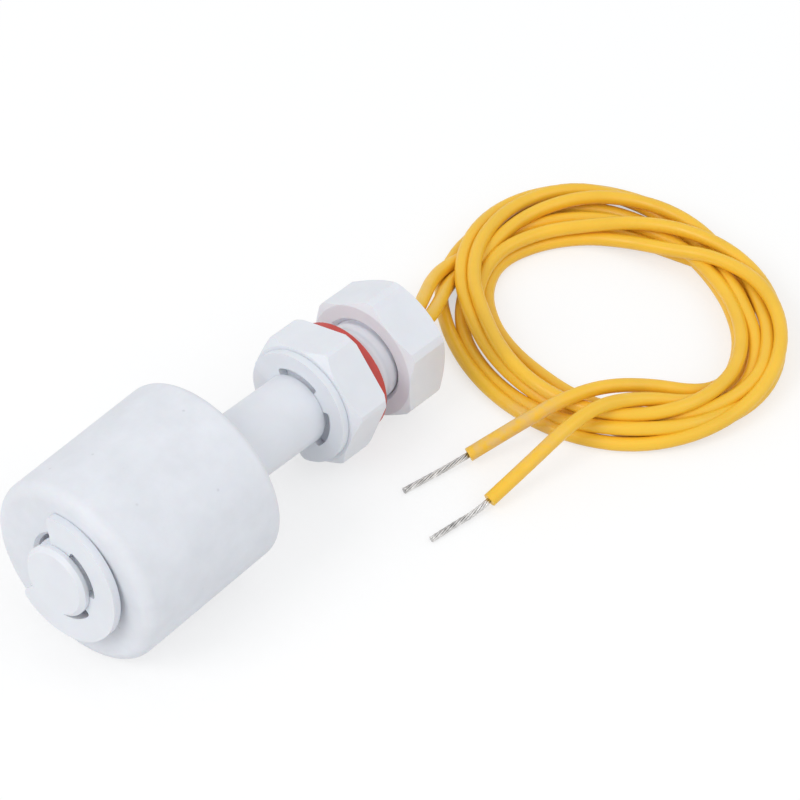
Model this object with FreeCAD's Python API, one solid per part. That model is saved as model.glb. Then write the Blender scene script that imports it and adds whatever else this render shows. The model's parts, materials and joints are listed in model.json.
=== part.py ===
import FreeCAD, Part
import math
import os

# Side-mounted float level switch with an M10 threaded shank, lying loose on a table.
# Millimetres, +Z up, the table is the plane z = 0.
#
# Everything on the stem is drawn along a local X axis: x = 0 is the flange's sealing face,
# the shank points to +x and the float lies on the -x side.  rest_slope() finds the slope at
# which the switch lies on its float and on one corner of its lock nut, and sloped() applies it.
# Angles about the stem are counted from +Y towards +Z.

Vec = FreeCAD.Vector
ORIGIN = Vec(0, 0, 0)
X_AXIS = Vec(1, 0, 0)
Y_AXIS = Vec(0, 1, 0)
Z_AXIS = Vec(0, 0, 1)

# Housing: stem, hex flange and threaded shank in one moulding
stem_d = 8.7
stem_len = 40.8
tip_chamfer = 0.5
flange_af = 14.8
flange_corner_d = 16.77
flange_t = 5.3
flange_chamfer = 0.95
flange_chamfer_len = 0.8
flange_face_chamfer = 0.3
flange_turn = 46.3
thread_d = 10.0
shank_len = 11.6
shank_chamfer = 0.6
core_bore_d = 5.6
tip_wall = 3.2
bore_tip_chamfer = 1.2

# Retaining clips and their grooves
lower_clip_od = 16.0
upper_clip_od = 14.1
clip_ring_id = 10.2
clip_t = 1.0
clip_half_span = 122.0
back_prong_span = 32.0
side_prong_span = 35.0
clip_end_r = 0.9
prong_root_r = 0.4
groove_d = 7.7
groove_gap = 0.05
clip_grip_gap = 0.02
tip_land = 1.1
lower_clip_turn = 194.0
upper_clip_turn = 140.0

# Float and its ring magnet
float_d = 23.3
float_len = 21.5
float_near_r = 1.5
float_far_r = 1.0
float_bore_gap = 0.1
float_bore_chamfer = 0.4
float_seat_gap = 0.05
magnet_od = 18.0
magnet_wall = 1.0
magnet_len = 5.0
magnet_inset = 3.0
magnet_gap = 0.02

# Gasket and lock nut
gasket_od = 14.0
gasket_t = 1.5
gasket_gap = 0.1
gasket_edge_r = 0.2
nut_af = 14.5
nut_corner_d = 16.2
nut_turn = 30.0
nut_t = 6.3
nut_front_x = 5.2
nut_chamfer = 0.9
nut_chamfer_len = 0.54
nut_bore_gap = 0.05
nut_bore_chamfer = 0.5
nut_out_travel = 4.0

# Reed switch, standing off the stem's axis
glass_d = 2.3
glass_len = 14.0
glass_wall = 0.3
glass_end_wall = 1.8
glass_end_r = 0.7
glass_centre_x = -26.0
glass_side_gap = 0.2
reed_wire_d = 0.5
reed_width = 1.0
reed_t = 0.24
reed_overlap = 1.4
contact_gap = 0.1
lead_out = 3.0

# Soldered joints, sleeves, wires and potting inside the stem
wire_d = 1.7
conductor_d = 0.76
wire_pitch = 1.8
wire_side_gap = 0.1
solder_d = 1.5
solder_len = 3.2
lap_pitch = 0.7
lap_solder_d = 2.0
lap_solder_len = 2.6
lap_end_gap = 1.0
lap_run_in = 2.2
bare_len = 2.4
sleeve_t = 0.22
sleeve_gap = 0.03
sleeve_cover = 3.0
wire_shift_len = 6.0
potting_recess = 0.4
potting_len = 7.0
fill_gap = 0.01

# Coil of both wires: an oval ring lying on the table
coil_centre = Vec(52.7, -13.5, 0)
coil_turn = 81.4
coil_long_r = 19.5
coil_short_r = 15.5
coil_end_r = 13.0
coil_band = 7.5
coil_height = 4.6
coil_chamfer = 1.4

# Free wires between the potting and the coil, after a straight run out of the potting
exit_run = 4.8
wire_1_lead_route = [
    (38.2, 3.8, 5.2),
    (42.2, 5.9, 3.1),
    (46.1, 6.7, 2.0),
]
wire_2_lead_route = [
    (38.4, 1.8, 4.9),
    (42.4, 4.0, 2.6),
    (46.3, 5.0, 1.4),
]

# Free wires between the coil and where the insulation stops
wire_1_end_route = [
    (48.6, -29.5, 2.2),
    (45.0, -24.7, 3.5),
    (40.2, -21.5, 4.9),
    (34.9, -19.5, 5.2),
    (29.8, -17.4, 3.7),
    (25.1, -15.3, 1.9),
]
wire_2_end_route = [
    (46.6, -30.2, 2.6),
    (42.6, -26.0, 4.0),
    (37.4, -23.5, 5.4),
    (31.9, -22.8, 5.2),
    (26.4, -22.1, 3.4),
    (21.3, -21.3, 1.7),
]

# Bared and tinned conductors, which first run straight on from the insulation
tip_run = 3.2
wire_1_tip_route = [
    (18.7, -13.1, 0.6),
    (15.5, -12.2, 0.4),
]
wire_2_tip_route = [
    (14.9, -20.1, 0.6),
    (11.7, -19.5, 0.4),
]
arc_share = 0.45

# Places along the stem that follow from the sizes
stem_tip_x = -flange_t - stem_len
lower_clip_x = stem_tip_x + tip_land
upper_clip_x = -flange_t - groove_gap - clip_t
nut_rear_x = nut_front_x + nut_t
nut_foot_x = nut_rear_x - nut_chamfer_len
exit_x = shank_len - potting_recess
glass_upper_x = glass_centre_x + glass_len / 2
glass_lower_x = glass_centre_x - glass_len / 2
butt_x = glass_upper_x + lead_out
lap_upper_x = glass_lower_x - lead_out
lap_lower_x = lap_upper_x - lap_solder_len - lap_end_gap

# Distances from the stem's axis
core_bore_r = core_bore_d / 2
glass_y = core_bore_r - glass_side_gap - glass_d / 2
return_y = wire_side_gap + wire_d / 2 - core_bore_r
exit_y = wire_pitch / 2


def polar(x, radius, angle):
    """Point at a distance from the stem's axis, at an angle in degrees."""
    return Vec(x, radius * math.cos(math.radians(angle)), radius * math.sin(math.radians(angle)))


def rod(diameter, x0, x1, y=0.0):
    return Part.makeCylinder(diameter / 2, x1 - x0, Vec(x0, y, 0), X_AXIS)


def pipe(outer_d, inner_d, x0, x1, y=0.0):
    return rod(outer_d, x0, x1, y).cut(rod(inner_d, x0, x1, y))


def turned(profile):
    """Solid of revolution about X from (x, radius) pairs that run from end to end."""
    points = [Vec(profile[0][0], 0, 0)]
    points += [Vec(x, radius, 0) for x, radius in profile]
    points += [Vec(profile[-1][0], 0, 0), points[0]]
    return Part.Face(Part.makePolygon(points)).revolve(ORIGIN, X_AXIS, 360)


def chamfered_hex(across_flats, corner_d, x0, x1, turn, front, front_len, rear, rear_len):
    """Hex prism, one corner at turn degrees, with turned corners and conical end chamfers."""
    sharp_r = across_flats / 2 / math.cos(math.pi / 6)
    corners = [polar(x0, sharp_r, turn + 60 * index) for index in range(7)]
    prism = Part.Face(Part.makePolygon(corners)).extrude(Vec(x1 - x0, 0, 0))
    corner_r = corner_d / 2
    envelope = turned([
        (x0, corner_r - front),
        (x0 + front_len, corner_r),
        (x1 - rear_len, corner_r),
        (x1, corner_r - rear),
    ])
    return prism.common(envelope)


def round_edges(shape, radius, at_x, at_radius):
    """Round the circular edges of one radius in the plane at_x."""
    chosen = []
    for edge in shape.Edges:
        is_circle = edge.Curve.TypeId == "Part::GeomCircle"
        if is_circle and abs(edge.Curve.Radius - at_radius) < 1e-4:
            if abs(edge.Curve.Center.x - at_x) < 1e-4:
                chosen.append(edge)
    return shape.makeFillet(radius, chosen)


def housing():
    """Stem with two clip grooves, hex flange and shank, bored from the shank's end."""
    stem_r = stem_d / 2
    thread_r = thread_d / 2
    stem = turned([
        (stem_tip_x, stem_r - tip_chamfer),
        (stem_tip_x + tip_chamfer, stem_r),
        (-flange_t / 2, stem_r),
    ])
    flange = chamfered_hex(flange_af, flange_corner_d, -flange_t, 0, flange_turn,
                           flange_chamfer, flange_chamfer_len,
                           flange_face_chamfer, flange_face_chamfer)
    shank = turned([
        (-flange_t / 2, thread_r),
        (shank_len - shank_chamfer, thread_r),
        (shank_len, thread_r - shank_chamfer),
    ])
    bore_end_x = stem_tip_x + tip_wall
    bore = turned([
        (bore_end_x, core_bore_r - bore_tip_chamfer),
        (bore_end_x + bore_tip_chamfer, core_bore_r),
        (shank_len + 1, core_bore_r),
    ])
    cutters = [bore]
    for clip_x in (lower_clip_x, upper_clip_x):
        cutters.append(pipe(stem_d + 1, groove_d, clip_x - groove_gap, clip_x + clip_t + groove_gap))
    return stem.fuse([flange, shank]).cut(cutters).removeSplitter()


def ring_sector(r_in, r_out, x0, thickness, middle, span):
    """Slice of a flat ring between two radii, centred on an angle."""
    start = middle - span / 2
    stop = middle + span / 2
    outer = Part.Arc(polar(x0, r_out, start), polar(x0, r_out, middle), polar(x0, r_out, stop))
    inner = Part.Arc(polar(x0, r_in, stop), polar(x0, r_in, middle), polar(x0, r_in, start))
    edges = [
        outer.toShape(),
        Part.makeLine(polar(x0, r_out, stop), polar(x0, r_in, stop)),
        inner.toShape(),
        Part.makeLine(polar(x0, r_in, start), polar(x0, r_out, start)),
    ]
    return Part.Face(Part.Wire(edges)).extrude(Vec(thickness, 0, 0))


def edges_along_stem(shape, radius, angles):
    """Edges parallel to the stem that stand at one radius and at given angles."""
    chosen = []
    for edge in shape.Edges:
        start, end = edge.Vertexes[0].Point, edge.Vertexes[-1].Point
        if math.hypot(end.y - start.y, end.z - start.z) > 1e-6:
            continue
        for angle in angles:
            spot = polar(start.x, radius, angle)
            if spot.distanceToPoint(start) < 1e-3:
                chosen.append(edge)
    return chosen


def retaining_clip(x0, outer_d, turn):
    """E-shaped clip: an open ring with three prongs that reach the groove's floor."""
    ring_out_r = outer_d / 2
    ring_in_r = clip_ring_id / 2
    prong_root = (ring_in_r + ring_out_r) / 2
    grip_r = groove_d / 2 + clip_grip_gap
    side_angle = clip_half_span - side_prong_span / 2
    clip = ring_sector(ring_in_r, ring_out_r, x0, clip_t, 0, 2 * clip_half_span)
    prongs = []
    for middle, span in ((0, back_prong_span), (side_angle, side_prong_span),
                         (-side_angle, side_prong_span)):
        prongs.append(ring_sector(grip_r, prong_root, x0, clip_t, middle, span))
    clip = clip.fuse(prongs).removeSplitter()
    ends = edges_along_stem(clip, ring_out_r, (clip_half_span, -clip_half_span))
    clip = clip.makeFillet(clip_end_r, ends)
    inner_side = clip_half_span - side_prong_span
    root_angles = [inner_side, -inner_side, back_prong_span / 2, -back_prong_span / 2]
    clip = clip.makeFillet(prong_root_r, edges_along_stem(clip, ring_in_r, root_angles))
    clip.rotate(ORIGIN, X_AXIS, turn)
    return clip


def rim_heights(outer_d, turn):
    """Lowest and highest point of a clip's rim, measured from the stem's axis."""
    start = turn - clip_half_span
    angles = [start + step for step in range(int(2 * clip_half_span) + 1)]
    heights = [outer_d / 2 * math.sin(math.radians(angle)) for angle in angles]
    return min(heights), max(heights)


def rest_slope():
    """Slope of the stem, and the float's centre, when float and nut corner touch the table."""
    clip_top = rim_heights(lower_clip_od, lower_clip_turn)[1]
    clip_face_x = lower_clip_x + clip_t
    angle = 0.0
    for _ in range(30):
        seat_x = clip_face_x * math.cos(angle) + clip_top * math.sin(angle) + float_seat_gap
        centre_x = seat_x + float_len / 2
        reach = nut_foot_x - centre_x / math.cos(angle)
        span = math.hypot(reach, nut_corner_d / 2)
        angle = math.asin(float_d / 2 / span) - math.atan2(nut_corner_d / 2, reach)
    return angle, centre_x


slope, float_centre_x = rest_slope()
axis_height = nut_corner_d / 2 * math.cos(slope) + nut_foot_x * math.sin(slope)
stem_axis = Vec(math.cos(slope), 0, -math.sin(slope))
float_bore_r = (stem_d / 2 / math.cos(slope) + float_len / 2 * math.tan(slope)
                + float_bore_gap)


def sloped(shape):
    """Bring a shape from the local stem axis to the slope at which the switch lies."""
    shape = shape.copy()
    shape.rotate(ORIGIN, Y_AXIS, math.degrees(slope))
    shape.translate(Vec(0, 0, axis_height))
    return shape


def flat_ring(outer_r, inner_r, x0, length):
    """Ring about the float's own axis, which lies level."""
    ring = pipe(2 * outer_r, 2 * inner_r, x0, x0 + length)
    ring.translate(Vec(0, 0, float_d / 2))
    return ring


magnet_in_r = float_bore_r + magnet_wall
float_near_x = float_centre_x - float_len / 2
magnet_x = float_near_x + magnet_inset


def float_body():
    """Moulded float: bored cylinder with a closed cavity that holds the ring magnet."""
    far_x = float_near_x + float_len
    body = rod(float_d, float_near_x, far_x)
    body = round_edges(body, float_near_r, float_near_x, float_d / 2)
    body = round_edges(body, float_far_r, far_x, float_d / 2)
    flare_r = float_bore_r + float_bore_chamfer
    bore = turned([
        (float_near_x, flare_r),
        (float_near_x + float_bore_chamfer, float_bore_r),
        (far_x - float_bore_chamfer, float_bore_r),
        (far_x, flare_r),
    ])
    body = body.cut(bore)
    body.translate(Vec(0, 0, float_d / 2))
    cavity = flat_ring(magnet_od / 2 + magnet_gap, magnet_in_r - magnet_gap,
                       magnet_x - magnet_gap, magnet_len + 2 * magnet_gap)
    return body.cut(cavity)


def ring_magnet():
    return flat_ring(magnet_od / 2, magnet_in_r, magnet_x, magnet_len)


def gasket():
    """Flat sealing ring against the flange, with its rim edges rounded."""
    ring = pipe(gasket_od, thread_d + 2 * gasket_gap, 0, gasket_t)
    ring = round_edges(ring, gasket_edge_r, gasket_t, gasket_od / 2)
    return round_edges(ring, gasket_edge_r, 0, gasket_od / 2)


def lock_nut():
    """Moulded hex nut, chamfered at both faces, one corner turned down to the table."""
    blank = chamfered_hex(nut_af, nut_corner_d, nut_front_x, nut_rear_x, nut_turn,
                          nut_chamfer, nut_chamfer_len, nut_chamfer, nut_chamfer_len)
    bore_r = thread_d / 2 + nut_bore_gap
    mouth_r = bore_r + nut_bore_chamfer
    bore = turned([
        (nut_front_x, mouth_r),
        (nut_front_x + nut_bore_chamfer, bore_r),
        (nut_rear_x - nut_bore_chamfer, bore_r),
        (nut_rear_x, mouth_r),
    ])
    return blank.cut(bore)


def rounded_path(points):
    """Wire of straight runs joined by tangent arcs, and the list of its arc radii."""
    edges = []
    radii = []
    start = points[0]
    for before, corner, after in zip(points, points[1:], points[2:]):
        back = before - corner
        ahead = after - corner
        turn = math.pi - back.getAngle(ahead)
        trim = arc_share * min(back.Length, ahead.Length)
        radius = trim / math.tan(turn / 2)
        into = corner + back.normalize() * trim
        out = corner + ahead.normalize() * trim
        bisector = (back + ahead).normalize()
        middle = corner + bisector * (radius / math.cos(turn / 2) - radius)
        edges.append(Part.LineSegment(start, into).toShape())
        edges.append(Part.Arc(into, middle, out).toShape())
        radii.append(radius)
        start = out
    edges.append(Part.LineSegment(start, points[-1]).toShape())
    return Part.Wire(edges), radii


def tube(label, diameter, points):
    """Round bar along a rounded path; prints its arcs and checks its volume."""
    path, radii = rounded_path(points)
    heading = points[1] - points[0]
    section = Part.Wire(Part.makeCircle(diameter / 2, points[0], heading))
    bar = path.makePipeShell([section], True, True)
    expected = math.pi * diameter ** 2 / 4 * path.Length
    print(label, "length", round(path.Length, 2), "arc radii", [round(r, 1) for r in radii],
          "volume ratio", round(bar.Volume / expected, 4))
    return bar


def reed_glass():
    """Glass capsule with a sealed chamber and a hole at each end for a reed's wire."""
    radius = glass_d / 2
    capsule = rod(glass_d, glass_lower_x, glass_upper_x)
    capsule = round_edges(capsule, glass_end_r, glass_lower_x, radius)
    capsule = round_edges(capsule, glass_end_r, glass_upper_x, radius)
    chamber = rod(glass_d - 2 * glass_wall, glass_lower_x + glass_end_wall,
                  glass_upper_x - glass_end_wall)
    seal = rod(reed_wire_d + 2 * fill_gap, glass_lower_x, glass_upper_x)
    capsule = capsule.cut(chamber.fuse(seal))
    capsule.translate(Vec(0, glass_y, 0))
    return capsule


def reed_tongue(x0, x1, side):
    """Flattened contact end of a reed, on one side of the glass's axis."""
    inner = glass_y + side * contact_gap / 2
    outer = inner + side * reed_t
    low_y = min(inner, outer)
    return Part.makeBox(x1 - x0, reed_t, reed_width, Vec(x0, low_y, -reed_width / 2))


def reed_blade_upper():
    """Reed on the flange side: wire through the glass, flattened at its contact."""
    root_x = glass_upper_x - glass_end_wall
    wire = rod(reed_wire_d, root_x - reed_overlap, butt_x, glass_y)
    tongue = reed_tongue(glass_centre_x - reed_overlap / 2, root_x, 1)
    other_half = Part.makeBox(reed_overlap, reed_wire_d, reed_wire_d,
                              Vec(root_x - reed_overlap, glass_y - reed_wire_d + contact_gap / 2,
                                  -reed_wire_d / 2))
    return wire.cut(other_half).fuse(tongue).removeSplitter()


def reed_blade_lower():
    """Reed on the tip side, its wire bent over to lie beside the return wire's conductor."""
    root_x = glass_lower_x + glass_end_wall
    route = [
        Vec(root_x + reed_overlap, glass_y, 0),
        Vec(glass_lower_x - lead_out + lap_run_in, glass_y, 0),
        Vec(lap_upper_x, lap_pitch / 2, 0),
        Vec(lap_lower_x, lap_pitch / 2, 0),
    ]
    wire = tube("reed_blade_lower", reed_wire_d, route)
    tongue = reed_tongue(root_x, glass_centre_x + reed_overlap / 2, -1)
    other_half = Part.makeBox(reed_overlap, reed_wire_d, reed_wire_d,
                              Vec(root_x, glass_y - contact_gap / 2, -reed_wire_d / 2))
    return wire.cut(other_half).fuse(tongue).removeSplitter()


def core_1_route():
    """Conductor of wire 1 from its butt joint with the upper reed to the potting's face."""
    sleeve_end_x = butt_x + solder_len / 2 + bare_len + sleeve_cover
    straight_x = sleeve_end_x + arc_share * wire_shift_len
    return [
        Vec(butt_x + fill_gap, glass_y, 0),
        Vec(straight_x, glass_y, 0),
        Vec(straight_x + wire_shift_len, exit_y, 0),
        Vec(exit_x, exit_y, 0),
    ]


def core_2_route():
    """Conductor of wire 2 from the lap joint at the tip, past the glass, to the potting."""
    aside_x = lap_upper_x + lap_run_in
    shift_x = exit_x - potting_len - (1 + arc_share) * wire_shift_len
    return [
        Vec(lap_lower_x, -lap_pitch / 2, 0),
        Vec(lap_upper_x, -lap_pitch / 2, 0),
        Vec(aside_x, return_y, 0),
        Vec(shift_x, return_y, 0),
        Vec(shift_x + wire_shift_len, -exit_y, 0),
        Vec(exit_x, -exit_y, 0),
    ]


def insulated(label, route, bare_until):
    """Insulation along a conductor's route, stripped off below bare_until."""
    jacket = tube(label, wire_d, route)
    bore = tube(label + " bore", conductor_d + 2 * fill_gap, route)
    return jacket.cut([bore, rod(stem_d, stem_tip_x, bare_until)])


def wire_1_inner():
    return insulated("wire_1_inner", core_1_route(), butt_x + solder_len / 2 + bare_len)


def wire_2_inner():
    return insulated("wire_2_inner", core_2_route(), lap_upper_x + lap_run_in + bare_len)


def solder_upper():
    """Solder bead round the butt joint of the upper reed and wire 1."""
    x0 = butt_x - solder_len / 2
    x1 = butt_x + solder_len / 2
    bead = rod(solder_d, x0, x1, glass_y)
    holes = rod(reed_wire_d, x0, butt_x, glass_y)
    holes = holes.fuse(rod(conductor_d, butt_x + fill_gap, x1, glass_y))
    return bead.cut(holes)


def solder_lower():
    """Solder bead round the lap joint of the lower reed and wire 2."""
    x1 = lap_upper_x - lap_end_gap / 2
    x0 = x1 - lap_solder_len
    bead = rod(lap_solder_d, x0, x1)
    reed_hole = rod(reed_wire_d, x0, x1, lap_pitch / 2)
    return bead.cut(reed_hole.fuse(rod(conductor_d, x0, x1, -lap_pitch / 2)))


def sleeve_upper():
    """Shrunk sleeve over the upper joint, gripping the insulation of wire 1."""
    bore_d = wire_d + 2 * sleeve_gap
    x0 = butt_x - solder_len / 2 - sleeve_gap
    x1 = butt_x + solder_len / 2 + bare_len + sleeve_cover
    return pipe(bore_d + 2 * sleeve_t, bore_d, x0, x1, glass_y)


def sleeve_lower():
    """Shrunk sleeve over the lap joint."""
    bore_d = lap_solder_d + 2 * sleeve_gap
    x1 = lap_upper_x - lap_end_gap / 2
    return pipe(bore_d + 2 * sleeve_t, bore_d, x1 - lap_solder_len, x1)


def potting():
    """Resin plug that closes the bore round both wires, just inside the shank's end."""
    plug = rod(core_bore_d - 2 * fill_gap, exit_x - potting_len, exit_x)
    for side in (1, -1):
        plug = plug.cut(rod(wire_d + 2 * fill_gap, exit_x - potting_len, exit_x, side * exit_y))
    return plug


def oval_wire(growth):
    """Closed oval of four tangent arcs, offset outwards by growth, in the table's plane."""
    end_centre = coil_long_r - coil_end_r
    side_r = (end_centre ** 2 + coil_short_r ** 2 - coil_end_r ** 2) / 2
    side_r /= coil_short_r - coil_end_r
    side_centre = side_r - coil_short_r
    joint_angle = math.atan2(side_centre, end_centre)
    end_reach = coil_end_r + growth
    joint = Vec(end_centre + end_reach * math.cos(joint_angle),
                end_reach * math.sin(joint_angle), 0)
    tip = Vec(coil_long_r + growth, 0, 0)
    side = Vec(0, coil_short_r + growth, 0)

    def mirrored(point, x_sign, y_sign):
        return Vec(point.x * x_sign, point.y * y_sign, 0)

    arcs = [
        Part.Arc(mirrored(joint, 1, -1), tip, joint),
        Part.Arc(joint, side, mirrored(joint, -1, 1)),
        Part.Arc(mirrored(joint, -1, 1), mirrored(tip, -1, 1), mirrored(joint, -1, -1)),
        Part.Arc(mirrored(joint, -1, -1), mirrored(side, 1, -1), mirrored(joint, 1, -1)),
    ]
    return Part.Wire([arc.toShape() for arc in arcs])


def wire_coil():
    """Outer shape of the loose coil: an oval ring with bevelled edges."""
    up = Vec(0, 0, coil_height)
    outer = Part.Face(oval_wire(coil_band / 2)).extrude(up)
    ring = outer.cut(Part.Face(oval_wire(-coil_band / 2)).extrude(up))
    rims = [edge for edge in ring.Edges if edge.Curve.TypeId == "Part::GeomCircle"]
    ring = ring.makeChamfer(coil_chamfer, rims)
    ring.rotate(ORIGIN, Z_AXIS, coil_turn)
    ring.translate(coil_centre)
    return ring


on_stem = {
    "housing": housing(),
    "lower_clip": retaining_clip(lower_clip_x, lower_clip_od, lower_clip_turn),
    "upper_clip": retaining_clip(upper_clip_x, upper_clip_od, upper_clip_turn),
    "gasket": gasket(),
    "lock_nut": lock_nut(),
    "reed_glass": reed_glass(),
    "reed_blade_upper": reed_blade_upper(),
    "reed_blade_lower": reed_blade_lower(),
    "solder_upper": solder_upper(),
    "solder_lower": solder_lower(),
    "sleeve_upper": sleeve_upper(),
    "sleeve_lower": sleeve_lower(),
    "wire_1_inner": wire_1_inner(),
    "wire_2_inner": wire_2_inner(),
    "core_1_inner": tube("core_1_inner", conductor_d, core_1_route()),
    "core_2_inner": tube("core_2_inner", conductor_d, core_2_route()),
    "potting": potting(),
}
rigid = {name: sloped(shape) for name, shape in on_stem.items()}
rigid["float_body"] = float_body()
rigid["ring_magnet"] = ring_magnet()

# The frame's origin is under the middle of the rigid parts, on the table
extent = Part.makeCompound(list(rigid.values())).optimalBoundingBox(False)
to_origin = Vec(-extent.Center.x, 0, 0)
parts = {}
for name, shape in rigid.items():
    shape.translate(to_origin)
    parts[name] = shape


def placed_point(point):
    """A point of the local stem axis, in the model's frame."""
    return sloped(Part.Vertex(point)).Point + to_origin


def wire_lead(label, side, route, coil):
    """Wire out of the potting along the stem, then down to the coil's face."""
    exit_point = placed_point(Vec(exit_x, side * exit_y, 0))
    print(label, "exit", exit_point)
    points = [exit_point, exit_point + stem_axis * exit_run] + [Vec(*place) for place in route]
    return tube(label, wire_d, points).cut(coil)


def wire_end(label, route, coil):
    """Wire from the coil's face to the end of its insulation."""
    return tube(label, wire_d, [Vec(*place) for place in route]).cut(coil)


def wire_tip(label, insulation_route, route):
    """Tinned conductor, face to face with the end of its insulation."""
    start = Vec(*insulation_route[-1])
    heading = (start - Vec(*insulation_route[-2])).normalize()
    points = [start, start + heading * tip_run] + [Vec(*place) for place in route]
    return tube(label, conductor_d, points)


coil = wire_coil()
parts["wire_coil"] = coil
parts["wire_1_lead"] = wire_lead("wire_1_lead", 1, wire_1_lead_route, coil)
parts["wire_2_lead"] = wire_lead("wire_2_lead", -1, wire_2_lead_route, coil)
parts["wire_1_end"] = wire_end("wire_1_end", wire_1_end_route, coil)
parts["wire_2_end"] = wire_end("wire_2_end", wire_2_end_route, coil)
parts["wire_1_tip"] = wire_tip("wire_1_tip", wire_1_end_route, wire_1_tip_route)
parts["wire_2_tip"] = wire_tip("wire_2_tip", wire_2_end_route, wire_2_tip_route)

os.makedirs("parts", exist_ok=True)
for name, shape in parts.items():
    shape.exportStep("parts/" + name + ".step")

# Travel of the float up to the upper clip, and of the nut up to the gasket
upper_rim_foot = rim_heights(upper_clip_od, upper_clip_turn)[0]
upper_stop_x = upper_clip_x * math.cos(slope) + upper_rim_foot * math.sin(slope)
float_travel = (upper_stop_x - float_near_x - float_len - float_seat_gap) / math.cos(slope)
print("slope, degrees", round(math.degrees(slope), 4))
print("stem axis", [round(value, 6) for value in stem_axis])
print("float travel", round(float_travel, 3))
print("nut travel", round(gasket_t - nut_front_x, 3), "to", nut_out_travel)
print("free thread middle", placed_point(Vec((gasket_t + nut_front_x) / 2, 0, 0)))
print("flange face", placed_point(Vec(0, 0, 0)))
print("float bore radius", round(float_bore_r, 3))
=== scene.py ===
import json
import math

import bpy
import numpy as np
from mathutils import Matrix, Vector


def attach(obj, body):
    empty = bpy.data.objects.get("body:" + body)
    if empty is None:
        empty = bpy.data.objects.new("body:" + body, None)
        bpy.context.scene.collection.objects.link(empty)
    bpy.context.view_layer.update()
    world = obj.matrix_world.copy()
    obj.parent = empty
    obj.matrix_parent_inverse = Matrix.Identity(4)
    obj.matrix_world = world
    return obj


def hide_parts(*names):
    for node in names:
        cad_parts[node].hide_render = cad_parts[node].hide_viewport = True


# Looks of the float level switch: materials of the moulded parts, the two yellow wires in
# their loose coil, the tinned ends, a pale floor, soft light and the camera.

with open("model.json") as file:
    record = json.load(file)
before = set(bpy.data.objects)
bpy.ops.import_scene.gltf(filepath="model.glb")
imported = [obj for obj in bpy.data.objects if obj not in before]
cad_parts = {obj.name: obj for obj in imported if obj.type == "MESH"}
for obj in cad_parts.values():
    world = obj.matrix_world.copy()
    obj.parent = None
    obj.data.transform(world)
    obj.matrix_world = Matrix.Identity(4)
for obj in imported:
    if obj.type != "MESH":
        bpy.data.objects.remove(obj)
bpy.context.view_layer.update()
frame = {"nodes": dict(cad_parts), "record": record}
record = frame["record"]
nodes = frame["nodes"]
MM = 0.001

# Stem's own axes: x along the stem towards the shank, its origin on the flange's face
thread = next(mount for mount in record["mounts"] if mount["name"] == "thread")
STEM_X = Vector(thread["axis"])
STEM_Y = Vector((0.0, 1.0, 0.0))
STEM_Z = STEM_X.cross(STEM_Y)
THREAD_MIDDLE_X = 3.35
FLANGE_CENTRE = Vector(thread["pos_m"]) - STEM_X * THREAD_MIDDLE_X * MM


# ---------------------------------------------------------------- camera

EYE = Vector((-223.4, -210.5, 325.7)) * MM
AZIMUTH = math.radians(-48.81)
ELEVATION = math.radians(44.74)
ROLL = math.radians(-0.31)
FOCAL_PX = 3913.0
IMAGE_PX = 800.0
SENSOR_MM = 36.0
NEAREST = 0.01
FARTHEST = 10.0
# How far the picture's middle lies right of and above the fitted camera's own axis
MIDDLE_RIGHT_PX = 67.2
MIDDLE_UP_PX = -18.4


def add_camera():
    level_right = Vector((math.cos(AZIMUTH), math.sin(AZIMUTH), 0.0))
    back = Vector((math.sin(AZIMUTH) * math.cos(ELEVATION),
                   -math.cos(AZIMUTH) * math.cos(ELEVATION), math.sin(ELEVATION)))
    level_up = back.cross(level_right)
    right = level_right * math.cos(ROLL) + level_up * math.sin(ROLL)
    up = back.cross(right)
    # The axis is turned to the picture's middle, so that no shift is needed
    towards = right * MIDDLE_RIGHT_PX + up * MIDDLE_UP_PX - back * FOCAL_PX
    back = -towards.normalized()
    right = (right - back * right.dot(back)).normalized()
    up = back.cross(right)
    data = bpy.data.cameras.new("camera")
    data.sensor_width = SENSOR_MM
    data.lens = FOCAL_PX / IMAGE_PX * data.sensor_width
    data.clip_start = NEAREST
    data.clip_end = FARTHEST
    camera = bpy.data.objects.new("camera", data)
    bpy.context.scene.collection.objects.link(camera)
    axes = Matrix((right, up, back)).transposed().to_4x4()
    camera.matrix_world = Matrix.Translation(EYE) @ axes
    bpy.context.scene.camera = camera


add_camera()


# ---------------------------------------------------------------- material helpers

def tinted(color, factor):
    return tuple(min(1.0, channel * factor) for channel in color)


# Part of a noise's range that is stretched over the whole
NOISE_LOW = 0.3
NOISE_HIGH = 0.7


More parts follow.
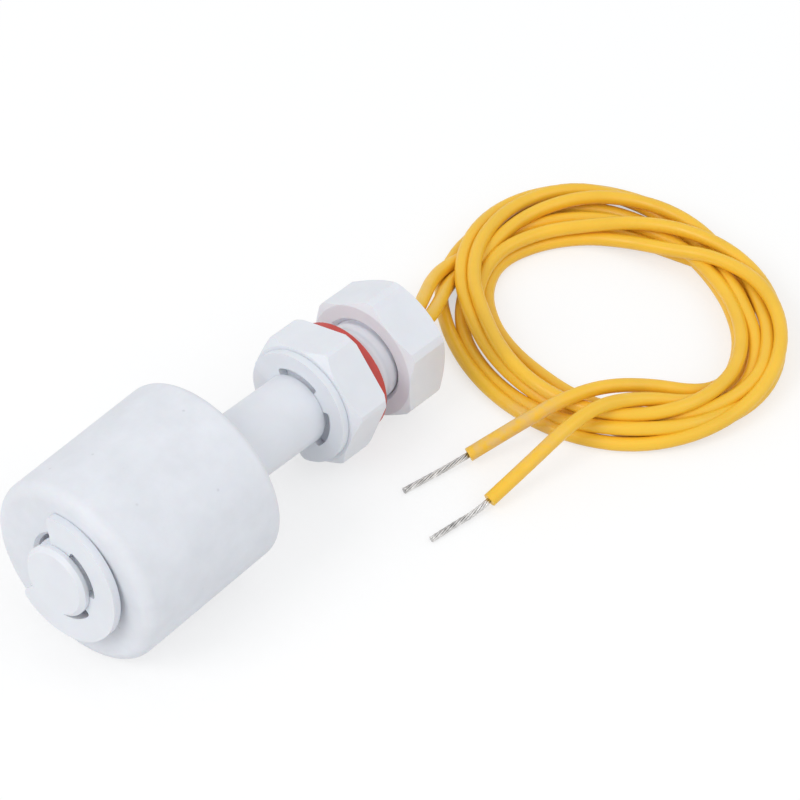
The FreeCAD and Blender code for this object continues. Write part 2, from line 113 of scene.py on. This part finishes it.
class Shader:
    """A Principled material and short calls that add procedural nodes to it."""

    def __init__(self, name, color, roughness, **sockets):
        self.material = bpy.data.materials.new(name)
        self.material.use_nodes = True
        self.tree = self.material.node_tree
        self.main = self.tree.nodes["Principled BSDF"]
        self.place = self.tree.nodes.new("ShaderNodeTexCoord").outputs["Object"]
        self.main.inputs["Base Color"].default_value = (*color, 1.0)
        self.main.inputs["Roughness"].default_value = roughness
        for socket, value in sockets.items():
            self.main.inputs[socket.replace("_", " ")].default_value = value

    def node(self, kind, **inputs):
        made = self.tree.nodes.new(kind)
        for key, value in inputs.items():
            if isinstance(value, bpy.types.NodeSocket):
                self.tree.links.new(value, made.inputs[key])
            else:
                made.inputs[key].default_value = value
        return made

    def noise(self, size_mm, detail=3.0, roughness=0.5):
        made = self.node("ShaderNodeTexNoise", Vector=self.place, Scale=1.0 / (size_mm * MM),
                         Detail=detail, Roughness=roughness)
        return made.outputs["Fac"]

    def patches(self, size_mm, detail=3.0, low=0.0, high=1.0, roughness=0.5):
        """Noise whose middle part is stretched over the whole range."""
        return self.span(self.noise(size_mm, detail, roughness), NOISE_LOW, NOISE_HIGH, low, high)

    def spots(self, size_mm):
        made = self.node("ShaderNodeTexVoronoi", Vector=self.place, Scale=1.0 / (size_mm * MM))
        return made.outputs["Distance"]

    def math(self, operation, *values):
        made = self.tree.nodes.new("ShaderNodeMath")
        made.operation = operation
        for index, value in enumerate(values):
            if isinstance(value, bpy.types.NodeSocket):
                self.tree.links.new(value, made.inputs[index])
            else:
                made.inputs[index].default_value = value
        return made.outputs[0]

    def against(self, operation, vector, fixed):
        """Vector operation between a socket and a fixed vector."""
        made = self.tree.nodes.new("ShaderNodeVectorMath")
        made.operation = operation
        self.tree.links.new(vector, made.inputs[0])
        made.inputs[1].default_value = fixed
        return made.outputs

    def dot(self, vector, direction):
        return self.against("DOT_PRODUCT", vector, direction)["Value"]

    def span(self, value, low, high, out_low=0.0, out_high=1.0):
        made = self.node("ShaderNodeMapRange", **{
            "Value": value, "From Min": low, "From Max": high,
            "To Min": out_low, "To Max": out_high})
        return made.outputs["Result"]

    def mix(self, factor, first, second):
        made = self.tree.nodes.new("ShaderNodeMix")
        made.data_type = "RGBA"
        for index, value in ((0, factor), (6, first), (7, second)):
            if isinstance(value, bpy.types.NodeSocket):
                self.tree.links.new(value, made.inputs[index])
            else:
                made.inputs[index].default_value = value if index == 0 else (*value, 1.0)
        return made.outputs[2]

    def color(self, socket):
        self.tree.links.new(socket, self.main.inputs["Base Color"])

    def mottle(self, color, low, high, size_mm, roughness=0.5):
        """Mix of two tints of one colour in broad patches."""
        return self.mix(self.patches(size_mm, 4.0, roughness=roughness),
                        tinted(color, low), tinted(color, high))

    def gloss(self, low, high, size_mm):
        """Roughness that varies in patches between two values."""
        self.tree.links.new(self.patches(size_mm, low=low, high=high),
                            self.main.inputs["Roughness"])

    def bump(self, height, depth_mm, strength=1.0, under=None):
        made = self.node("ShaderNodeBump", Strength=strength, Distance=depth_mm * MM,
                         Height=height)
        if under is not None:
            self.tree.links.new(under, made.inputs["Normal"])
        self.tree.links.new(made.outputs["Normal"], self.main.inputs["Normal"])
        return made.outputs["Normal"]


def mottled(name, color, roughness, size_mm, depth_mm, contrast=0.04, **sockets):
    """Plain material whose colour, gloss and surface vary a little."""
    made = Shader(name, color, roughness, **sockets)
    made.color(made.mottle(color, 1 - contrast, 1 + contrast, size_mm))
    made.gloss(roughness * 0.85, min(1.0, roughness * 1.15), size_mm * 0.6)
    made.bump(made.noise(size_mm * 0.12, 2.0), depth_mm)
    return made.material


# ---------------------------------------------------------------- materials

WHITE = (0.80, 0.82, 0.87)
FOAM = (0.79, 0.81, 0.86)
RED = (0.55, 0.055, 0.045)
YELLOW = (0.93, 0.55, 0.035)
TINNED = (0.62, 0.61, 0.60)


THREAD_PITCH = 1.5
THREAD_START = 1.2
THREAD_RUN_IN = 0.6
THREAD_DEPTH = 0.3
# The ridge fades in between these distances from the axis, so end faces stay plain
RIDGE_FOOT_R = 4.2
RIDGE_R = 4.5


def white_plastic(name, threaded=False):
    """Moulded plastic with slight sink marks, on the housing also with the thread."""
    made = Shader(name, WHITE, 0.42, Subsurface_Weight=0.12, Subsurface_Scale=0.002)
    made.color(made.mottle(WHITE, 0.965, 1.02, size_mm=5.0))
    made.gloss(0.36, 0.5, size_mm=1.5)
    skin = made.bump(made.noise(0.35, 2.0), depth_mm=0.012, strength=0.7)
    sink = made.bump(made.noise(6.0, 1.0), depth_mm=0.12, strength=0.5, under=skin)
    if threaded:
        made.bump(thread_height(made), THREAD_DEPTH, strength=0.6, under=sink)
    return made.material


def thread_height(made):
    """Soft helical ridge round the shank, faded out short of the flange and on end faces."""
    local = made.against("SUBTRACT", made.place, FLANGE_CENTRE)["Vector"]
    along = made.dot(local, STEM_X / MM)
    across = made.dot(local, STEM_Y / MM)
    above = made.dot(local, STEM_Z / MM)
    angle = made.math("ARCTAN2", above, across)
    turns = made.math("SUBTRACT", made.math("DIVIDE", along, THREAD_PITCH),
                      made.math("DIVIDE", angle, math.tau))
    wave = made.math("COSINE", made.math("MULTIPLY", turns, math.tau))
    ridge = made.math("MULTIPLY_ADD", wave, 0.5, 0.5)
    reach = made.math("SQRT", made.math("ADD", made.math("MULTIPLY", across, across),
                                        made.math("MULTIPLY", above, above)))
    past_flange = made.span(along, THREAD_START, THREAD_START + THREAD_RUN_IN)
    on_shank = made.math("MULTIPLY", past_flange, made.span(reach, RIDGE_FOOT_R, RIDGE_R))
    return made.math("MULTIPLY", ridge, on_shank)


def foam():
    """Foamed plastic: matt, broadly mottled, with a few tiny specks."""
    made = Shader("foamed_pp", FOAM, 0.62, Subsurface_Weight=0.1, Subsurface_Scale=0.002)
    broad = made.patches(4.0, 5.0, roughness=0.6)
    base = made.mix(broad, tinted(FOAM, 0.95), tinted(FOAM, 1.03))
    off_speck = made.span(made.spots(3.4), 0.03, 0.07)
    made.color(made.mix(off_speck, tinted(FOAM, 0.86), base))
    made.gloss(0.55, 0.72, size_mm=2.0)
    skin = made.bump(made.noise(0.5, 3.0), depth_mm=0.02, strength=0.5)
    made.bump(made.noise(5.0, 2.0), depth_mm=0.1, strength=0.4, under=skin)
    return made.material


# The first wire's insulation is a little dusty near its end
DUSTY = (0.82, 0.52, 0.15)
DUSTY_MIDDLE = (28.6, -16.9, 3.6)
DUSTY_REACH = 8.0


def yellow_pvc():
    made = Shader("yellow_pvc", YELLOW, 0.36, Subsurface_Weight=0.08, Subsurface_Scale=0.001)
    clean = made.mottle(YELLOW, 0.94, 1.04, size_mm=7.0)
    gap = made.against("DISTANCE", made.place, Vector(DUSTY_MIDDLE) * MM)["Value"]
    near = made.span(gap, DUSTY_REACH * MM, 0.5 * DUSTY_REACH * MM)
    dust = made.span(made.noise(1.2, 5.0), 0.36, 0.6)
    made.color(made.mix(made.math("MULTIPLY", near, dust), clean, DUSTY))
    made.gloss(0.3, 0.46, size_mm=2.0)
    skin = made.bump(made.noise(0.4, 2.0), depth_mm=0.015, strength=0.6)
    made.bump(made.noise(3.0, 1.0), depth_mm=0.12, strength=0.4, under=skin)
    return made.material


def red_silicone():
    made = Shader("red_silicone", RED, 0.5)
    made.color(made.mottle(RED, 0.85, 1.15, size_mm=2.5))
    made.gloss(0.42, 0.6, size_mm=1.0)
    made.bump(made.noise(0.25, 2.0), depth_mm=0.02, strength=0.8)
    return made.material


def tinned_copper():
    made = Shader("tinned_copper", TINNED, 0.34, Metallic=1.0)
    made.color(made.mottle(TINNED, 0.6, 1.35, size_mm=1.2))
    made.gloss(0.25, 0.5, size_mm=0.8)
    made.bump(made.noise(0.2, 2.0), depth_mm=0.02, strength=0.6)
    return made.material


materials = {
    "housing": white_plastic("white_pp_threaded", True),
    "white": white_plastic("white_pp"),
    "foam": foam(),
    "red": red_silicone(),
    "yellow": yellow_pvc(),
    "tinned": tinned_copper(),
    "ferrite": mottled("ferrite", (0.08, 0.08, 0.085), 0.55, 1.5, 0.03, 0.2),
    "glass": mottled("reed_glass", (0.62, 0.82, 0.70), 0.05, 3.0, 0.004,
                     Transmission_Weight=0.9, IOR=1.48),
    "alloy": mottled("reed_alloy", (0.62, 0.60, 0.57), 0.25, 1.0, 0.01, 0.08, Metallic=1.0),
    "solder": mottled("solder", (0.60, 0.61, 0.62), 0.3, 0.8, 0.03, 0.1, Metallic=1.0),
    "sleeve": mottled("black_sleeve", (0.02, 0.02, 0.02), 0.5, 1.5, 0.02, 0.3),
    "resin": mottled("clear_epoxy", (0.10, 0.09, 0.08), 0.12, 2.0, 0.02, 0.2, Coat_Weight=0.3),
}

dressed = {
    "housing": "housing", "lower_clip": "white", "upper_clip": "white", "lock_nut": "white",
    "float_body": "foam", "ring_magnet": "ferrite", "gasket": "red", "reed_glass": "glass",
    "reed_blade_upper": "alloy", "reed_blade_lower": "alloy", "solder_upper": "solder",
    "solder_lower": "solder", "sleeve_upper": "sleeve", "sleeve_lower": "sleeve",
    "wire_1_inner": "yellow", "wire_2_inner": "yellow", "core_1_inner": "tinned",
    "core_2_inner": "tinned", "potting": "resin", "wire_1_lead": "yellow",
    "wire_2_lead": "yellow", "wire_coil": "yellow", "wire_1_end": "yellow",
    "wire_2_end": "yellow", "wire_1_tip": "tinned", "wire_2_tip": "tinned",
}
for name, kind in dressed.items():
    for material_slot in nodes[name].material_slots:
        material_slot.material = materials[kind]


# ---------------------------------------------------------------- wires

# Millimetres.  Each wire leaves the potting, goes down to the table, round the coil and out
# to its bared end.  The coil is stated by the wire's distance from the coil's middle and its
# height over the table, at every eighth of a turn, clockwise from +Y.
WIRE_D = 1.7
CONDUCTOR_D = 0.76
EXIT_RUN = 4.8
EXIT_SIDE = 0.9
EXIT_X = 11.2
COIL_CENTRE = (52.7, -13.5)
FIRST_ANGLE = 91.4
STATION_ANGLE = 45.0
POINT_ANGLE = 22.5
OUTWARD = 1.019
# Inner and outer edge of the coil, as the wire's distance from the coil's middle, at every
# twelfth of a turn, anticlockwise from +X
EDGE_ANGLE = 30.0
COIL_EDGES = [
    (13.2, 19.0), (13.1, 22.6), (15.6, 26.0), (17.6, 22.8), (15.8, 21.6), (12.4, 19.0),
    (12.0, 19.0), (13.7, 20.2), (14.4, 21.7), (17.4, 21.2), (15.4, 21.8), (14.2, 17.4),
]

WIRE_1_LEAD = [(38.2, 3.8, 5.2), (42.2, 5.9, 3.1), (46.1, 6.7, 2.0)]
WIRE_1_COIL = [
    (18.8, 1.2), (18.0, 0.9), (15.6, 1.2), (15.4, 2.2), (17.4, 2.8), (17.2, 2.6), (15.7, 3.2),
    (15.0, 3.4), (19.0, 3.1), (23.0, 2.0), (17.6, 0.9), (15.5, 3.4), (19.6, 3.2), (15.6, 2.4),
    (12.0, 1.0), (12.6, 0.9), (15.0, 0.9), (13.9, 1.0), (12.5, 2.2), (18.4, 4.2), (22.6, 2.6),
    (21.6, 1.2), (19.8, 1.5), (20.0, 1.9), (23.4, 0.9), (20.3, 0.9), (14.6, 0.9), (13.8, 0.9),
    (16.2, 1.0),
]
WIRE_1_END = [
    (48.6, -29.5, 2.2), (45.0, -24.7, 3.5), (40.2, -21.5, 4.9), (34.9, -19.5, 5.2),
    (29.8, -17.4, 3.7), (25.1, -15.3, 1.9),
]
WIRE_2_LEAD = [(38.4, 1.8, 4.9), (42.4, 4.0, 2.6), (46.3, 5.0, 1.4)]
WIRE_2_COIL = [
    (16.9, 0.9), (15.6, 0.9), (14.8, 2.2), (19.8, 1.4), (22.3, 0.9), (20.0, 0.9), (17.6, 2.8),
    (16.8, 3.4), (21.0, 2.9), (24.2, 0.9), (19.2, 0.9), (17.2, 3.0), (21.4, 3.2), (18.4, 1.6),
    (14.3, 0.9), (14.8, 0.9), (16.6, 2.0), (14.8, 2.7), (16.6, 3.4), (20.2, 2.6), (22.0, 0.9),
    (20.2, 2.4), (18.0, 0.9), (18.1, 0.9), (18.2, 2.7), (20.3, 3.2), (17.9, 3.4), (16.2, 0.9),
    (17.8, 1.0),
]
WIRE_2_END = [
    (46.6, -30.2, 2.6), (42.6, -26.0, 4.0), (37.4, -23.5, 5.4), (31.9, -22.8, 5.2),
    (26.4, -22.1, 3.4), (21.3, -21.3, 1.7),
]
# The insulation ends a little past the route's last point.  The conductor runs straight on
# from there, as far as it does in the solids.
END_PAST = 1.3
TIP_RUN = 3.2 - END_PAST
WIRE_1_TIP = [(18.7, -13.1, 0.6), (15.5, -12.2, 0.4)]
WIRE_2_TIP = [(14.9, -20.1, 0.6), (11.7, -19.5, 0.4)]


def ended(route):
    """Route of a wire's end, run on straight by the last bit of insulation."""
    stop = Vector(route[-1])
    heading = (stop - Vector(route[-2])).normalized()
    return route[:-1] + [tuple(stop + heading * END_PAST)]


WIRE_1_END = ended(WIRE_1_END)
WIRE_2_END = ended(WIRE_2_END)


def between(values, position):
    """Smooth value at a fractional place in a list."""
    index = min(int(position), len(values) - 2)
    share = position - index
    before = values[max(index - 1, 0)]
    start, stop = values[index], values[index + 1]
    after = values[min(index + 2, len(values) - 1)]
    rise, run_out = (stop - before) / 2, (after - start) / 2
    return ((2 * share ** 3 - 3 * share ** 2 + 1) * start
            + (share ** 3 - 2 * share ** 2 + share) * rise
            + (3 * share ** 2 - 2 * share ** 3) * stop
            + (share ** 3 - share ** 2) * run_out)


def coil_points(stations):
    points = []
    per_station = STATION_ANGLE / POINT_ANGLE
    reaches = [reach * OUTWARD for reach, _ in stations]
    heights = [height for _, height in stations]
    for step in range(int((len(stations) - 1) * per_station) + 1):
        angle = math.radians(FIRST_ANGLE - POINT_ANGLE * step)
        reach = between(reaches, step / per_station)
        points.append((COIL_CENTRE[0] + reach * math.cos(angle),
                       COIL_CENTRE[1] + reach * math.sin(angle),
                       max(between(heights, step / per_station), WIRE_D / 2)))
    return points


def exit_points(side):
    start = FLANGE_CENTRE / MM + STEM_X * EXIT_X + STEM_Y * side * EXIT_SIDE
    return [tuple(start), tuple(start + STEM_X * EXIT_RUN)]


def spline_weights(count, per_span=4):
    """Weights of the control points in samples of a quadratic spline, and their places."""
    rows, places = [], []
    for middle in range(1, count - 1):
        for step in range(per_span):
            share = step / per_span
            row = np.zeros(count)
            row[middle - 1] = 0.5 * (1 - share) ** 2
            row[middle] = 0.5 + share * (1 - share)
            row[middle + 1] = 0.5 * share * share
            rows.append(row)
            places.append(middle - 0.5 + share)
    return np.array(rows), np.array(places)


SETTLE_STEPS = 400
PUSH = 1.6
STIFFNESS = 0.08
SINK = 0.01
# Samples of one wire this few points apart are the same stretch of it
SAME_WIRE_SPAN = 1.2
GATHER = 0.2
TINY = 1e-9
# Points at the start of a lead and at the end of a free end that keep their place
HELD_LEAD_POINTS = 3
LOOSE_END_POINTS = 1


def gathered(points):
    """Points of the coil brought part of the way back between its inner and outer edge."""
    offset = points[:, :2] - np.array(COIL_CENTRE)
    reach = np.hypot(offset[:, 0], offset[:, 1])
    place = np.degrees(np.arctan2(offset[:, 1], offset[:, 0])) % 360 / EDGE_ANGLE
    steps = np.arange(len(COIL_EDGES) + 1)
    edges = np.array(COIL_EDGES + COIL_EDGES[:1])
    inner = np.interp(place, steps, edges[:, 0])
    outer = np.interp(place, steps, edges[:, 1])
    wanted = reach + GATHER * (np.clip(reach, inner, outer) - reach)
    drawn = points.copy()
    drawn[:, :2] = np.array(COIL_CENTRE) + offset * (wanted / reach)[:, None]
    return drawn


def settle(routes, free, lead_points, end_points):
    """Push wires that lie in each other apart to one diameter, gathered in the coil's ring."""
    start = [np.array(route, float) for route in routes]
    points = [route.copy() for route in start]
    weights, places = zip(*[spline_weights(len(route)) for route in routes])
    owner = np.concatenate([np.full(len(places[i]), i) for i in range(len(routes))])
    place = np.concatenate(places)
    neighbour = ((owner[:, None] == owner[None, :])
                 & (np.abs(place[:, None] - place[None, :]) < SAME_WIRE_SPAN))
    for _ in range(SETTLE_STEPS):
        samples = np.concatenate([weights[i] @ points[i] for i in range(len(points))])
        apart = samples[:, None, :] - samples[None, :, :]
        distance = np.sqrt((apart ** 2).sum(-1)) + TINY
        overlap = np.clip(WIRE_D - distance, 0, None)
        overlap[neighbour] = 0
        touching = np.maximum((overlap > 0).sum(1), 1)
        push = (apart / distance[..., None] * overlap[..., None]).sum(1) / 2 / touching[:, None]
        first = 0
        for i, route in enumerate(points):
            count = len(places[i])
            share = weights[i].sum(0)[:, None] + TINY
            step = weights[i].T @ push[first:first + count] / share * PUSH
            first += count
            moved = route + np.where(free[i][:, None], step, 0) - start[i]
            moved[1:-1] += STIFFNESS * (moved[:-2] + moved[2:] - 2 * moved[1:-1])
            moved[:, 2] -= SINK
            settled = start[i] + moved
            settled[lead_points:-end_points] = gathered(settled[lead_points:-end_points])
            settled[:, 2] = np.maximum(settled[:, 2], WIRE_D / 2)
            points[i] = np.where(free[i][:, None], settled, start[i])
    return points


CURVE_STEPS = 6
ROUND_STEPS = 5


def route_curve(name, points, diameter):
    """Curve of one open NURBS spline with the route's points as its control points."""
    data = bpy.data.curves.new(name, "CURVE")
    data.dimensions = "3D"
    spline = data.splines.new("NURBS")
    spline.points.add(len(points) - 1)
    for point, place in zip(spline.points, points):
        point.co = (*(value * MM for value in place), 1.0)
    spline.order_u = 3
    spline.use_endpoint_u = True
    spline.resolution_u = CURVE_STEPS
    data.bevel_depth = diameter * MM / 2
    data.bevel_resolution = ROUND_STEPS
    data.use_fill_caps = diameter > 0
    made = bpy.data.objects.new(name, data)
    bpy.context.scene.collection.objects.link(made)
    return made


routes, free = [], []
for side, lead, turns, end in ((1, WIRE_1_LEAD, WIRE_1_COIL, WIRE_1_END),
                               (-1, WIRE_2_LEAD, WIRE_2_COIL, WIRE_2_END)):
    turn_points = coil_points(turns)
    route = exit_points(side) + lead + turn_points + end
    held = len(end) - LOOSE_END_POINTS
    routes.append(route)
    free.append(np.array([HELD_LEAD_POINTS <= index < len(route) - held
                          for index in range(len(route))]))
settled = settle(routes, free, len(exit_points(1)) + len(WIRE_1_LEAD), len(WIRE_1_END))


def centreline(points):
    """Points along the NURBS spline of a route."""
    line = route_curve("line", points, 0.0)
    bpy.context.view_layer.update()
    mesh = bpy.data.meshes.new_from_object(
        line.evaluated_get(bpy.context.evaluated_depsgraph_get()))
    places = [vertex.co.copy() for vertex in mesh.vertices]
    bpy.data.meshes.remove(mesh)
    bpy.data.objects.remove(line)
    return places


# Six strands wound round a straight one; the twist is a strand's length per turn
STRANDS = 7
STRAND_TWIST = 5.5
STRAND_SIDES = 8
UP = Vector((0.0, 0.0, 1.0))


def sweep(rings):
    """Vertices and faces of a closed tube through rings of equal length."""
    sides = len(rings[0])
    vertices = [place for ring in rings for place in ring]
    faces = []
    for row in range(len(rings) - 1):
        for side in range(sides):
            step = (side + 1) % sides
            faces.append((row * sides + side, row * sides + step,
                          (row + 1) * sides + step, (row + 1) * sides + side))
    faces.append(tuple(reversed(range(sides))))
    faces.append(tuple(range((len(rings) - 1) * sides, len(rings) * sides)))
    return vertices, faces


def twisted_tip(name, points, turn):
    """Bared conductor: seven tinned strands, twisted, that follow the tip's route."""
    line = centreline(points)
    strand_r = CONDUCTOR_D * MM / 6
    vertices, faces = [], []
    lengths = [0.0]
    for before, after in zip(line, line[1:]):
        lengths.append(lengths[-1] + (after - before).length)
    for strand in range(STRANDS):
        rings = []
        for index, place in enumerate(line):
            ahead = line[min(index + 1, len(line) - 1)]
            behind = line[max(index - 1, 0)]
            heading = (ahead - behind).normalized()
            side = heading.cross(UP).normalized()
            top = side.cross(heading)
            angle = turn + math.tau * (strand / (STRANDS - 1) + lengths[index] / MM / STRAND_TWIST)
            offset = 0.0 if strand == STRANDS - 1 else 2.0 * strand_r
            middle = place + (side * math.cos(angle) + top * math.sin(angle)) * offset
            corners = [math.tau * corner / STRAND_SIDES for corner in range(STRAND_SIDES)]
            rings.append([middle + (side * math.cos(a) + top * math.sin(a)) * strand_r
                          for a in corners])
        more, more_faces = sweep(rings)
        first = len(vertices)
        vertices += more
        faces += [tuple(first + corner for corner in face) for face in more_faces]
    mesh = bpy.data.meshes.new(name)
    mesh.from_pydata(vertices, [], faces)
    mesh.update()
    mesh.shade_smooth()
    made = bpy.data.objects.new(name, mesh)
    bpy.context.scene.collection.objects.link(made)
    made.data.materials.append(materials["tinned"])
    return made


def tip_points(end, tip):
    start = Vector(end[-1])
    heading = (start - Vector(end[-2])).normalized()
    return [tuple(start), tuple(start + heading * TIP_RUN)] + tip


tips = [twisted_tip("tip_1_strands", tip_points(WIRE_1_END, WIRE_1_TIP), 0.0),
        twisted_tip("tip_2_strands", tip_points(WIRE_2_END, WIRE_2_TIP), 1.0)]
wires = []
for number, points in enumerate(settled):
    wire = route_curve(f"wire_{number + 1}", [tuple(place) for place in points], WIRE_D)
    wire.data.materials.append(materials["yellow"])
    wires.append(wire)
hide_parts("wire_1_lead", "wire_coil", "wire_1_end")
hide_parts("wire_2_lead", "wire_2_end")
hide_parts("wire_1_tip")
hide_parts("wire_2_tip")
for wire, tip, side, length in ((wires[0], tips[0], 1, 0.444), (wires[1], tips[1], -1, 0.46)):
    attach(wire, "switch")
    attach(tip, "switch")


# ---------------------------------------------------------------- floor, world and lights

# What the camera, reflections and glass see of the floor is mostly glow, so that it comes out
# white and keeps a faint shadow.  What lights the object is a plain pale floor.
FLOOR_HALF = 2.0
FLOOR_COLOR = 0.82
SEEN_DIFFUSE = 0.4
SEEN_GLOW = 0.615
WORLD_LEVEL = 0.74
SKY = (0.97, 0.985, 1.0)


def camera_or_mirror(tree):
    """One where a ray comes from the camera, a reflection or a transmission."""
    path = tree.nodes.new("ShaderNodeLightPath")
    total = path.outputs["Is Camera Ray"]
    for output in ("Is Glossy Ray", "Is Transmission Ray"):
        larger = tree.nodes.new("ShaderNodeMath")
        larger.operation = "MAXIMUM"
        tree.links.new(total, larger.inputs[0])
        tree.links.new(path.outputs[output], larger.inputs[1])
        total = larger.outputs[0]
    return total


def add_floor():
    mesh = bpy.data.meshes.new("floor")
    corners = [(x * FLOOR_HALF, y * FLOOR_HALF, 0.0)
               for x, y in ((-1, -1), (1, -1), (1, 1), (-1, 1))]
    mesh.from_pydata(corners, [], [(0, 1, 2, 3)])
    floor = bpy.data.objects.new("floor", mesh)
    bpy.context.scene.collection.objects.link(floor)
    material = bpy.data.materials.new("white_table")
    material.use_nodes = True
    tree = material.node_tree
    tree.nodes.remove(tree.nodes["Principled BSDF"])
    plain = tree.nodes.new("ShaderNodeBsdfDiffuse")
    plain.inputs["Color"].default_value = (FLOOR_COLOR, FLOOR_COLOR, FLOOR_COLOR, 1.0)
    seen = tree.nodes.new("ShaderNodeBsdfDiffuse")
    seen.inputs["Color"].default_value = (SEEN_DIFFUSE, SEEN_DIFFUSE, SEEN_DIFFUSE, 1.0)
    glow = tree.nodes.new("ShaderNodeEmission")
    glow.inputs["Strength"].default_value = SEEN_GLOW
    both = tree.nodes.new("ShaderNodeAddShader")
    tree.links.new(seen.outputs[0], both.inputs[0])
    tree.links.new(glow.outputs[0], both.inputs[1])
    choice = tree.nodes.new("ShaderNodeMixShader")
    tree.links.new(camera_or_mirror(tree), choice.inputs[0])
    tree.links.new(plain.outputs[0], choice.inputs[1])
    tree.links.new(both.outputs[0], choice.inputs[2])
    tree.links.new(choice.outputs[0], tree.nodes["Material Output"].inputs["Surface"])
    mesh.materials.append(material)


def add_world():
    world = bpy.data.worlds.new("studio")
    bpy.context.scene.world = world
    world.use_nodes = True
    tree = world.node_tree
    light = tree.nodes["Background"]
    light.inputs["Color"].default_value = (*SKY, 1.0)
    light.inputs["Strength"].default_value = WORLD_LEVEL
    seen = tree.nodes.new("ShaderNodeBackground")
    seen.inputs["Color"].default_value = (1.0, 1.0, 1.0, 1.0)
    seen.inputs["Strength"].default_value = 1.0
    choice = tree.nodes.new("ShaderNodeMixShader")
    tree.links.new(camera_or_mirror(tree), choice.inputs[0])
    tree.links.new(light.outputs[0], choice.inputs[1])
    tree.links.new(seen.outputs[0], choice.inputs[2])
    tree.links.new(choice.outputs[0], tree.nodes["World Output"].inputs["Surface"])


LIGHT_AIM = Vector((0.02, 0.0, 0.0))


def add_soft_light(name, place, size, power, color):
    data = bpy.data.lights.new(name, "AREA")
    data.shape = "SQUARE"
    data.size = size
    data.energy = power
    data.color = color
    lamp = bpy.data.objects.new(name, data)
    bpy.context.scene.collection.objects.link(lamp)
    lamp.location = place
    lamp.rotation_euler = (LIGHT_AIM - Vector(place)).to_track_quat("-Z", "Y").to_euler()


add_floor()
add_world()
add_soft_light("key", (-0.75, 0.15, 0.75), size=0.5, power=3.2, color=(1.0, 0.99, 0.97))
add_soft_light("fill", (0.25, -0.6, 0.7), size=0.6, power=1.1, color=SKY)

bpy.context.scene.view_settings.view_transform = "Standard"
